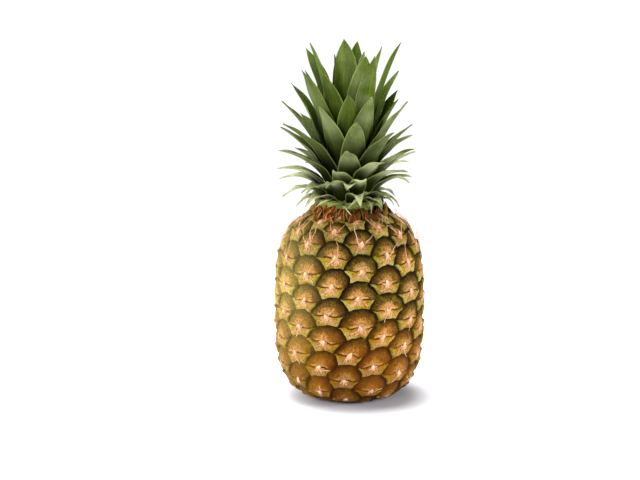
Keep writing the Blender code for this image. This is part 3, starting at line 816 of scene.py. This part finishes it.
def make_neck_bracts():
    strips = Strips()
    share = np.linspace(0.0, 1.0, NECK_ALONG)
    for ring_number, (count, kept, root_r, root_h, tip_r, tip_h, width) in enumerate(NECK_RINGS):
        for k in range(count):
            draw = random.Random(BRACT_SEED + ring_number * 100 + k)
            if draw.random() > kept:
                continue
            azimuth = FULL_TURN * (k + 0.5 * (ring_number % 2)) / count + draw.uniform(-0.10, 0.10)
            reach = tip_r + draw.uniform(-1.5, 2.5)
            rise = tip_h + draw.uniform(-3.0, 1.5)
            drift = draw.uniform(-0.14, 0.14)
            bulge = max(root_r, reach) + NECK_BULGE_MM
            root = around_axis(root_r * MM, azimuth, root_h * MM)
            bend = around_axis(bulge * MM, azimuth + drift * 0.3, (0.4 * root_h + 0.6 * rise) * MM)
            tip = around_axis(reach * MM, azimuth + drift, rise * MM)
            points = curve_at((root, bend, tip), share[:, None])
            along = np.gradient(points, axis=0)
            along /= np.linalg.norm(along, axis=1)[:, None]
            slant = azimuth + draw.uniform(-0.5, 0.5)
            sideways = np.tile((-math.sin(slant), math.cos(slant), 0.0), (NECK_ALONG, 1))
            outward = np.cross(sideways, along)
            wide = width * draw.uniform(0.55, 1.10)
            widths = (wide * (0.75 + 0.35 * share) * (1.0 - share ** 2.6) + 0.3) * MM
            arch = draw.uniform(-0.10, 0.24)
            made = ribbon(points, sideways, outward, widths, NECK_THICK, NECK_ACROSS, arch)
            strips.add(made, NECK_ALONG, NECK_ACROSS, draw.random(), ring_number / (len(NECK_RINGS) - 1.0))
    layers = {"strand": strips.layer(1, 2), "rim": np.abs(strips.layer(0, 3))}
    return mesh_object("neck_bract_rings", strips.vertices, strips.faces, STRAND_WELD, **layers)


# Materials

class Nodes:
    """Short calls for building one material's node tree."""

    def __init__(self, name):
        self.material = bpy.data.materials.new(name)
        self.material.use_nodes = True
        self.tree = self.material.node_tree
        self.shader = self.tree.nodes["Principled BSDF"]

    def node(self, kind, **settings):
        made = self.tree.nodes.new(kind)
        for key, value in settings.items():
            setattr(made, key, value)
        return made

    def feed(self, value, socket):
        """Sets the socket to a number, a vector or a colour, or links it to another socket."""
        if isinstance(value, (int, float)):
            socket.default_value = value
        elif isinstance(value, tuple):
            socket.default_value = value if socket.type == "VECTOR" else value + (1.0,)
        else:
            self.tree.links.new(value, socket)

    def math(self, operation, a, b=0.0):
        made = self.node("ShaderNodeMath", operation=operation)
        self.feed(a, made.inputs[0])
        self.feed(b, made.inputs[1])
        return made.outputs[0]

    def times(self, a, b):
        return self.math("MULTIPLY", a, b)

    def plus(self, a, b):
        return self.math("ADD", a, b)

    def less(self, a, b):
        return self.math("SUBTRACT", a, b)

    def absolute(self, a):
        return self.math("ABSOLUTE", a)

    def length(self, x, y):
        return self.math("SQRT", self.plus(self.times(x, x), self.times(y, y)))

    def frayed(self, value, noise, amount):
        """The value made uneven by a noise about its middle."""
        return self.plus(value, self.times(self.less(noise, 0.5), amount))

    def ramp(self, value, low, high, start=0.0, end=1.0):
        """A smooth step of value from low to high."""
        made = self.node("ShaderNodeMapRange", interpolation_type="SMOOTHSTEP")
        keys = ("Value", "From Min", "From Max", "To Min", "To Max")
        for key, item in zip(keys, (value, low, high, start, end)):
            self.feed(item, made.inputs[key])
        return made.outputs[0]

    def mix(self, share, first, second):
        made = self.node("ShaderNodeMix", data_type="RGBA")
        for slot, value in ((0, share), (6, first), (7, second)):
            self.feed(value, made.inputs[slot])
        return made.outputs[2]

    def stain(self, base, share, strength, colour):
        """The base colour with another one over it, at most at this strength."""
        return self.mix(self.times(share, strength), base, colour)

    def uv(self, name):
        return self.parts(self.node("ShaderNodeUVMap", uv_map=name).outputs[0])[:2]

    def position(self):
        return self.node("ShaderNodeTexCoord").outputs["Object"]

    def parts(self, vector):
        made = self.node("ShaderNodeSeparateXYZ")
        self.feed(vector, made.inputs[0])
        return made.outputs[0], made.outputs[1], made.outputs[2]

    def join(self, x, y, z):
        made = self.node("ShaderNodeCombineXYZ")
        for socket, value in zip(made.inputs, (x, y, z)):
            self.feed(value, socket)
        return made.outputs[0]

    def noise(self, vector, scale, detail=4.0, rough=0.6):
        made = self.node("ShaderNodeTexNoise")
        keys = ("Vector", "Scale", "Detail", "Roughness")
        for key, value in zip(keys, (vector, scale, detail, rough)):
            self.feed(value, made.inputs[key])
        return made.outputs["Fac"]

    def tinted(self, colour, saturation, value):
        made = self.node("ShaderNodeHueSaturation")
        for key, item in (("Color", colour), ("Saturation", saturation), ("Value", value)):
            self.feed(item, made.inputs[key])
        return made.outputs[0]

    def surface(self, colour, roughness, specular, height, distance, strength):
        """The finished material, from its colour, gloss and fine relief."""
        bump = self.node("ShaderNodeBump")
        for key, value in (("Height", height), ("Distance", distance), ("Strength", strength)):
            self.feed(value, bump.inputs[key])
        inputs = (
            ("Base Color", colour), ("Roughness", roughness), ("Specular IOR Level", specular),
            ("Normal", bump.outputs[0]),
        )
        for key, value in inputs:
            self.feed(value, self.shader.inputs[key])
        return self.material


def rind_material():
    """Upper half: black groove (painted shade), dark olive, then tan round the slit. Lower half: yellow-green
    bract.
    """
    n = Nodes("pineapple_rind")
    x, over = n.uv("tile")
    arch, hem = n.uv("edge")
    shade, age = n.uv("draw")
    place = n.position()
    right, _, height = n.parts(place)
    lower = n.ramp(height, 0.100, 0.020)
    # Towards the fruit's left side, where the skin is painted paler as the light of the lit side, and gets
    # more moss
    left = n.ramp(right, -0.010, -0.058)
    blotch = n.noise(place, 70.0)
    patch = n.noise(place, 210.0)
    grain = n.noise(place, 650.0, 4.0, 0.65)
    seed = n.times(shade, 37.0)
    # Fibres fan out from the middle of the slit
    fan = n.math("ARCTAN2", x, over)
    far = n.length(x, over)
    fibre = n.noise(n.join(n.times(fan, 4.0), n.times(far, 3.0), seed), 3.0, 4.0, 0.65)
    thread = n.noise(n.join(n.times(fan, 13.0), n.times(far, 5.0), seed), 3.0, 3.0, 0.6)

    olive = n.mix(n.ramp(blotch, 0.35, 0.65), srgb(62, 44, 8), srgb(98, 78, 24))
    olive = n.mix(n.ramp(thread, 0.46, 0.66), olive, srgb(150, 122, 66))
    olive = n.mix(n.ramp(patch, 0.54, 0.68), olive, srgb(58, 32, 16))
    olive = n.stain(olive, n.ramp(shade, 0.55, 0.95), 0.6, srgb(112, 72, 44))
    olive = n.stain(olive, lower, 0.50, srgb(146, 86, 34))
    tan = n.mix(n.ramp(patch, 0.38, 0.62), srgb(178, 122, 70), srgb(240, 190, 134))
    orange = n.mix(n.ramp(patch, 0.38, 0.62), srgb(168, 88, 32), srgb(208, 140, 66))
    warm = n.plus(0.10, n.times(lower, 0.90))
    tan = n.mix(n.times(n.ramp(shade, 0.15, 0.9), warm), tan, orange)
    tan = n.stain(tan, n.ramp(shade, 0.45, 0.10), 0.45, srgb(196, 176, 120))
    tan = n.stain(tan, n.ramp(fibre, 0.48, 0.60), 0.95, srgb(100, 60, 28))
    tan = n.stain(tan, n.ramp(thread, 0.52, 0.68), 0.65, srgb(238, 200, 148))
    oval = n.length(n.math("DIVIDE", x, 0.40), n.math("DIVIDE", over, 0.38))
    oval = n.frayed(oval, patch, 1.3)
    oval = n.frayed(oval, fibre, 1.1)
    dome = n.mix(n.ramp(oval, 0.52, 1.04), tan, olive)
    # A pale tan ridge over the slit: partly its own colour, partly a painted highlight on the brow
    above = n.absolute(n.less(over, 0.075))
    ridge = n.times(n.ramp(above, 0.045, 0.010), n.ramp(n.absolute(x), 0.42, 0.22))
    dome = n.stain(dome, ridge, 0.75, srgb(236, 190, 130))
    # Dark groove with a serrated edge along the top of each eye: painted shade where the eye above overhangs
    serrated_groove_shade = n.less(n.plus(grain, patch), 1.0)
    serrated_groove_shade = n.plus(arch, n.times(serrated_groove_shade, 0.60))
    dome = n.stain(dome, n.ramp(serrated_groove_shade, 0.72, 0.22), 0.72, srgb(46, 33, 6))
    dome = n.mix(n.ramp(serrated_groove_shade, 0.27, 0.11), dome, srgb(28, 18, 2))

    side = n.absolute(x)
    khaki = n.mix(n.ramp(blotch, 0.38, 0.62), srgb(202, 172, 96), srgb(170, 148, 68))
    gold = n.mix(n.ramp(shade, 0.3, 0.8), srgb(188, 162, 76), srgb(200, 152, 70))
    bract = n.mix(n.ramp(side, 0.42, 0.16), khaki, gold)
    bract = n.stain(bract, lower, 0.45, srgb(196, 126, 54))
    # Paler towards the left, painted light of the lit side, and yellower there, the bract's own colour
    bract = n.stain(bract, left, 0.45, srgb(214, 200, 116))
    bract = n.stain(bract, n.ramp(thread, 0.48, 0.62), 0.75, srgb(112, 88, 36))
    # Pale forks spread downwards from the middle of the slit
    down = n.less(0.10, over)
    fork_fan = n.math("ARCTAN2", x, down)
    fork_at = n.join(n.times(fork_fan, 7.0), n.times(down, 1.5), seed)
    fork = n.noise(fork_at, 2.2, 2.0, 0.5)
    star = n.frayed(n.absolute(fork_fan), thread, 0.8)
    fade = n.frayed(down, fork, 0.5)
    beige = n.mix(n.ramp(fork, 0.44, 0.58), srgb(242, 198, 156), srgb(146, 92, 46))
    strength = n.times(n.ramp(star, 1.05, 0.50), n.ramp(fade, 0.50, 0.30))
    bract = n.stain(bract, strength, 0.92, beige)
    lip = n.mix(n.ramp(blotch, 0.4, 0.6), srgb(194, 184, 116), srgb(140, 132, 56))
    edge = n.frayed(hem, patch, 0.22)
    bract = n.stain(bract, n.ramp(edge, 0.34, 0.10), 0.85, lip)
    # Darker at the bract's sides and hem, along the grooves: painted shade
    bract = n.mix(n.ramp(serrated_groove_shade, 0.10, 0.02), bract, srgb(60, 48, 18))
    bract = n.mix(n.ramp(hem, 0.045, 0.008), bract, srgb(64, 54, 22))

    skin = n.mix(n.math("GREATER_THAN", over, 0.0), bract, dome)
    halo = n.frayed(far, patch, 0.7)
    halo = n.frayed(halo, thread, 0.5)
    skin = n.stain(skin, n.ramp(halo, 0.30, 0.06), 0.55, srgb(236, 182, 140))
    slit = n.times(n.ramp(n.absolute(over), 0.030, 0.008), n.ramp(side, 0.50, 0.38))
    skin = n.mix(slit, skin, srgb(84, 38, 10))
    moss = n.ramp(n.noise(place, 120.0, 3.0, 0.6), 0.58, 0.70)
    moss = n.times(moss, n.plus(0.40, n.times(left, 0.3)))
    skin = n.mix(moss, skin, srgb(124, 138, 38))
    # Paler towards the left: painted light of the lit side
    skin = n.stain(skin, left, 0.34, srgb(218, 196, 130))
    fleck = n.noise(place, 1100.0, 3.0, 0.6)
    fleck = n.times(n.ramp(fleck, 0.52, 0.66), n.ramp(arch, 0.15, 0.55))
    skin = n.stain(skin, fleck, 0.30, srgb(216, 188, 132))
    skin = n.stain(skin, n.ramp(grain, 0.48, 0.64), 0.55, srgb(58, 36, 6))
    skin = n.stain(skin, lower, 0.28, srgb(150, 78, 24))
    # Older eyes are lighter; near the floor and under the crown the skin is darkened as painted shade
    depth = n.times(n.ramp(height, 0.065, 0.0), 0.40)
    crown_shade = n.times(n.ramp(height, 0.112, 0.145), 0.20)
    light = n.less(n.plus(0.83, n.times(age, 0.24)), n.plus(depth, crown_shade))
    rough = n.plus(n.times(grain, 0.6), n.plus(n.times(thread, 0.7), n.times(patch, 0.9)))
    gloss = n.ramp(grain, 0.2, 0.8, 0.48, 0.70)
    return n.surface(n.tinted(skin, 1.16, light), gloss, 0.08, rough, 0.0013, 1.0)


def base_material():
    n = Nodes("pineapple_base_skin")
    place = n.position()
    blotch = n.noise(place, 60.0)
    grain = n.noise(place, 300.0)
    skin = n.mix(blotch, (0.260, 0.150, 0.050), (0.420, 0.280, 0.110))
    skin = n.mix(n.ramp(grain, 0.45, 0.75), skin, (0.120, 0.060, 0.020))
    return n.surface(skin, 0.7, 0.5, grain, 0.0006, 0.8)


def tip_material():
    """Dry papery skin, paler towards its tip, with fine fibres and a tone of its own."""
    n = Nodes("bract_tip")
    middle = srgb(226, 176, 132)
    along, tone = n.uv("strand")
    place = n.position()
    grain = n.noise(place, 520.0, 3.0, 0.6)
    patch = n.noise(place, 170.0, 3.0, 0.6)
    reach = n.frayed(along, patch, 0.5)
    colour = n.mix(n.ramp(reach, 0.05, 0.50), srgb(178, 124, 74), middle)
    colour = n.mix(n.ramp(reach, 0.50, 0.95), colour, srgb(242, 204, 170))
    colour = n.stain(colour, n.ramp(grain, 0.42, 0.70), 0.6, srgb(136, 84, 48))
    colour = n.stain(colour, n.ramp(tone, 0.3, 1.0), 0.45, middle)
    return n.surface(colour, 0.62, 0.3, n.plus(grain, patch), 0.0005, 0.8)


def neck_material():
    """Reddish-orange bracts with pale margins, darker towards their roots."""
    n = Nodes("neck_bract")
    along, tone = n.uv("strand")
    side, ring = n.uv("rim")
    place = n.position()
    grain = n.noise(place, 480.0, 3.0, 0.6)
    patch = n.noise(place, 150.0, 3.0, 0.6)
    red = n.mix(n.ramp(patch, 0.40, 0.60), srgb(134, 60, 26), srgb(172, 96, 52))
    colour = n.mix(n.ramp(n.plus(along, n.times(patch, 0.6)), 0.25, 0.85), srgb(52, 28, 5), red)
    colour = n.stain(colour, n.ramp(tone, 0.40, 0.60), 0.8, srgb(96, 74, 24))
    colour = n.stain(colour, ring, 0.35, srgb(84, 50, 20))
    colour = n.stain(colour, n.ramp(grain, 0.42, 0.66), 0.6, srgb(74, 32, 12))
    pale = n.times(n.ramp(n.plus(side, n.times(grain, 0.3)), 0.75, 1.05), 0.75)
    colour = n.mix(pale, colour, srgb(222, 168, 122))
    # Painted shade darkening the right side, and straw-coloured flanks
    right = n.parts(place)[0]
    colour = n.mix(n.ramp(right, -0.008, 0.004, 0.0, 0.72), colour, srgb(66, 44, 14))
    flank = n.ramp(n.absolute(right), 0.025, 0.034)
    colour = n.stain(colour, flank, 0.80, srgb(150, 128, 70))
    return n.surface(n.tinted(colour, 1.12, 0.76), 0.62, 0.08, n.plus(grain, patch), 0.0005, 0.8)


def leaf_material():
    """Green with long fibres under a powdery bloom, which is thickest on the old, outer leaves."""
    n = Nodes("crown_leaf")
    across, along = n.uv("blade")
    age, tone = n.uv("tint")
    place = n.position()
    side = n.absolute(across)
    lane = n.join(n.times(across, 9.0), n.times(along, 0.6), n.times(tone, 13.0))
    stripe = n.noise(lane, 4.0)
    cloud = n.noise(place, 38.0, 4.0, 0.55)
    speck = n.noise(place, 900.0, 2.0, 0.5)
    young = n.ramp(age, 0.45, 0.95)
    green = n.mix(young, srgb(38, 51, 10), srgb(42, 64, 4))
    fresh = n.mix(young, srgb(90, 105, 40), srgb(94, 116, 20))
    blade = n.mix(n.ramp(stripe, 0.34, 0.70), green, fresh)
    old = n.ramp(age, 0.60, 0.22)
    share = n.plus(0.05, n.plus(n.times(old, 0.78), n.times(n.ramp(tone, 0.4, 1.0), 0.22)))
    bloom = n.times(n.ramp(cloud, 0.30, 0.62), share)
    bloom = n.times(bloom, n.ramp(along, 0.18, 0.55))
    blade = n.mix(bloom, blade, srgb(194, 198, 158))
    blade = n.stain(blade, n.ramp(speck, 0.50, 0.72), 0.20, srgb(150, 160, 104))
    # Darker towards each leaf's root: painted shade where the leaves crowd together
    blade = n.mix(n.ramp(along, 0.66, 0.18), blade, srgb(20, 28, 3))
    wrapped = n.mix(n.ramp(stripe, 0.42, 0.60), srgb(44, 58, 16), srgb(150, 152, 88))
    blade = n.mix(n.ramp(age, -0.05, -0.15), blade, wrapped)
    blade = n.stain(blade, n.ramp(side, 0.88, 0.99), 0.45, srgb(150, 158, 92))
    blade = n.mix(n.ramp(along, 0.975, 1.0), blade, srgb(122, 104, 62))
    light = n.plus(n.ramp(tone, 0.0, 1.0, 0.80, 1.02), n.times(old, 0.30))
    gloss = n.ramp(cloud, 0.3, 0.7, 0.44, 0.62)
    return n.surface(n.tinted(blade, 1.10, light), gloss, 0.10, stripe, 0.0005, 0.6)


def core_material():
    n = Nodes("crown_core_skin")
    grain = n.noise(n.position(), 260.0)
    return n.surface(n.mix(grain, srgb(70, 80, 26), srgb(122, 128, 52)), 0.6, 0.5, grain, 0.0005, 0.7)


def stalk_material():
    """Cut stalk: fibre ends in rings, darker to the rim."""
    n = Nodes("cut_stalk_face")
    place = n.position()
    radius = n.length(*n.parts(place)[:2])
    fibre = n.noise(place, 1100.0, 2.0, 0.5)
    cloud = n.noise(place, 160.0)
    face = n.mix(cloud, (0.520, 0.400, 0.210), (0.330, 0.220, 0.100))
    face = n.mix(n.ramp(fibre, 0.52, 0.62), face, (0.160, 0.090, 0.040))
    face = n.mix(n.ramp(radius, 0.0115, 0.0142), face, (0.150, 0.090, 0.035))
    return n.surface(face, 0.85, 0.5, fibre, 0.0004, 0.8)


def floor_material():
    """Darker pale grey-blue round the middle of the object's shadow, so that the real shadow shows, with a
    painted shadow added; further out it glows white as painted light.
    """
    n = Nodes("pale_floor")
    gap = n.node("ShaderNodeVectorMath", operation="DISTANCE")
    n.feed(n.position(), gap.inputs[0])
    n.feed(SHADOW_MIDDLE, gap.inputs[1])
    settings = (
        ("Base Color", FLOOR_COLOUR), ("Roughness", 0.9), ("Specular IOR Level", 0.1),
        ("Emission Color", WHITE), ("Emission Strength", n.ramp(gap.outputs["Value"], *FLOOR_FADE)),
    )
    for key, value in settings:
        n.feed(value, n.shader.inputs[key])
    return n.material


def dress(piece, material, slot, *nodes):
    piece.data.materials.clear()
    piece.data.materials.append(material)
    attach(piece, "root")
    if nodes:
        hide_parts(*nodes)


# Camera, lights and floor

def make_camera():
    """Elevated by 10 degrees on the -Y side, and aimed so that the object stands right of the middle."""
    data = bpy.data.cameras.new("camera")
    data.sensor_width = SENSOR_MM
    data.lens = SENSOR_MM * FOCAL_PIXELS / IMAGE_WIDTH
    camera = placed("camera", data)
    back, rise = CAMERA_DISTANCE * math.cos(CAMERA_ELEVATION), CAMERA_DISTANCE * math.sin(CAMERA_ELEVATION)
    eye = Vector((0.0, -back, AIM_HEIGHT + rise))
    to_left = (IMAGE_WIDTH / 2 - AXIS_PIXEL_X) / FOCAL_PIXELS * CAMERA_DISTANCE
    downwards = (AIM_PIXEL_Y - IMAGE_HEIGHT / 2) / FOCAL_PIXELS * CAMERA_DISTANCE
    aim = Vector((to_left, 0.0, AIM_HEIGHT + downwards / math.cos(CAMERA_ELEVATION)))
    camera.location = eye
    camera.rotation_euler = (aim - eye).to_track_quat("-Z", "Y").to_euler()
    bpy.context.scene.camera = camera


def add_lamp(name, place, size, power, colour):
    data = bpy.data.lights.new(name, "AREA")
    data.shape = "DISK"
    data.size = size
    data.energy = power
    data.color = colour
    lamp = placed(name, data)
    lamp.location = place
    lamp.rotation_euler = (Vector(LAMP_TARGET) - Vector(place)).to_track_quat("-Z", "Y").to_euler()


def make_studio():
    """A pale floor and soft lamps, before a white backdrop that lights the object only faintly."""
    turns = [FULL_TURN * k / FLOOR_SIDES for k in range(FLOOR_SIDES)]
    rim = [(FLOOR_RADIUS * math.cos(turn), FLOOR_RADIUS * math.sin(turn), 0.0) for turn in turns]
    floor = mesh_object("floor", rim, [tuple(range(FLOOR_SIDES))], 0.0)
    floor.data.materials.append(floor_material())

    world = bpy.data.worlds.new("studio")
    world.use_nodes = True
    tree = world.node_tree
    path = tree.nodes.new("ShaderNodeLightPath")
    backdrop = tree.nodes.new("ShaderNodeMapRange")
    backdrop.inputs["To Min"].default_value = AMBIENT
    backdrop.inputs["To Max"].default_value = BACKDROP
    tree.links.new(path.outputs["Is Camera Ray"], backdrop.inputs["Value"])
    tree.links.new(backdrop.outputs[0], tree.nodes["Background"].inputs["Strength"])
    tree.nodes["Background"].inputs["Color"].default_value = WHITE + (1.0,)
    bpy.context.scene.world = world
    for lamp in LAMPS:
        add_lamp(*lamp)
    bpy.context.scene.view_settings.view_transform = "Standard"


def main():
    make_camera()
    make_studio()
    dress(make_rind(), rind_material(), "rind", "fruit")
    dress(make_base_ring(), base_material(), "rind")
    dress(make_bract_tips(), tip_material(), "rind")
    dress(make_crown(), leaf_material(), "leaf", "crown")
    dress(make_core(), core_material(), "leaf")
    dress(make_neck_bracts(), neck_material(), "bract", "neck_bracts")
    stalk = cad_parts["stalk_end"]
    stalk.data.materials.clear()
    stalk.data.materials.append(stalk_material())


main()
